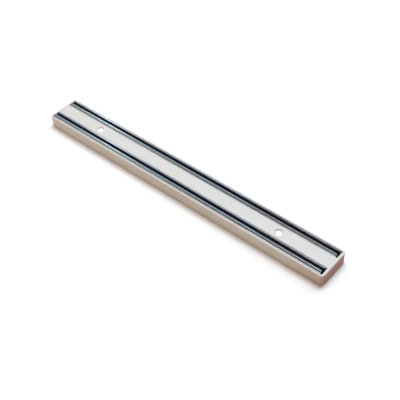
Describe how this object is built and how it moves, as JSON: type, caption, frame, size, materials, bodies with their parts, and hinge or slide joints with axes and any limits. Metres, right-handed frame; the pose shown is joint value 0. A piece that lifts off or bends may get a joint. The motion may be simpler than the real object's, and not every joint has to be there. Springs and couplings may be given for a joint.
{
  "type": "magnetic knife rack",
  "caption": "Wall-mounted magnetic knife rack: a hollow plastic bar with steel-edged magnet rails let into its face and countersunk screw holes between them.",
  "frame": {"origin": "centre of the back face, the face that lies against the wall", "axes": "+X along the bar, +Y across it towards the upper rail, +Z out of the face with the magnet rails"},
  "size_m": [0.455, 0.048, 0.0192],
  "materials": {
    "body_plastic": "satin",
    "cover_plastic": "matte",
    "pole_steel": "satin",
    "channel_aluminium": "satin",
    "ferrite": "matte",
    "carrier_nylon": "matte",
    "sleeve_nylon": "satin",
    "zinc_screw": "satin"
  },
  "bodies": {
    "root": {"body": "body_plastic", "back_cover": "cover_plastic", "cover_screws": "zinc_screw", "left_screw_sleeve": "sleeve_nylon", "right_screw_sleeve": "sleeve_nylon", "upper_magnet_carrier": "carrier_nylon", "upper_rail_channel": "channel_aluminium", "upper_rail_outer_pole": "pole_steel", "upper_rail_inner_pole": "pole_steel", "upper_rail_magnet_1": "ferrite", "upper_rail_magnet_2": "ferrite", "upper_rail_magnet_3": "ferrite", "upper_rail_magnet_4": "ferrite", "upper_rail_magnet_5": "ferrite", "upper_rail_magnet_6": "ferrite", "upper_rail_magnet_7": "ferrite", "upper_rail_magnet_8": "ferrite", "upper_rail_magnet_9": "ferrite", "lower_magnet_carrier": "carrier_nylon", "lower_rail_channel": "channel_aluminium", "lower_rail_outer_pole": "pole_steel", "lower_rail_inner_pole": "pole_steel", "lower_rail_magnet_1": "ferrite", "lower_rail_magnet_2": "ferrite", "lower_rail_magnet_3": "ferrite", "lower_rail_magnet_4": "ferrite", "lower_rail_magnet_5": "ferrite", "lower_rail_magnet_6": "ferrite", "lower_rail_magnet_7": "ferrite", "lower_rail_magnet_8": "ferrite", "lower_rail_magnet_9": "ferrite"}
  },
  "joints": []
}
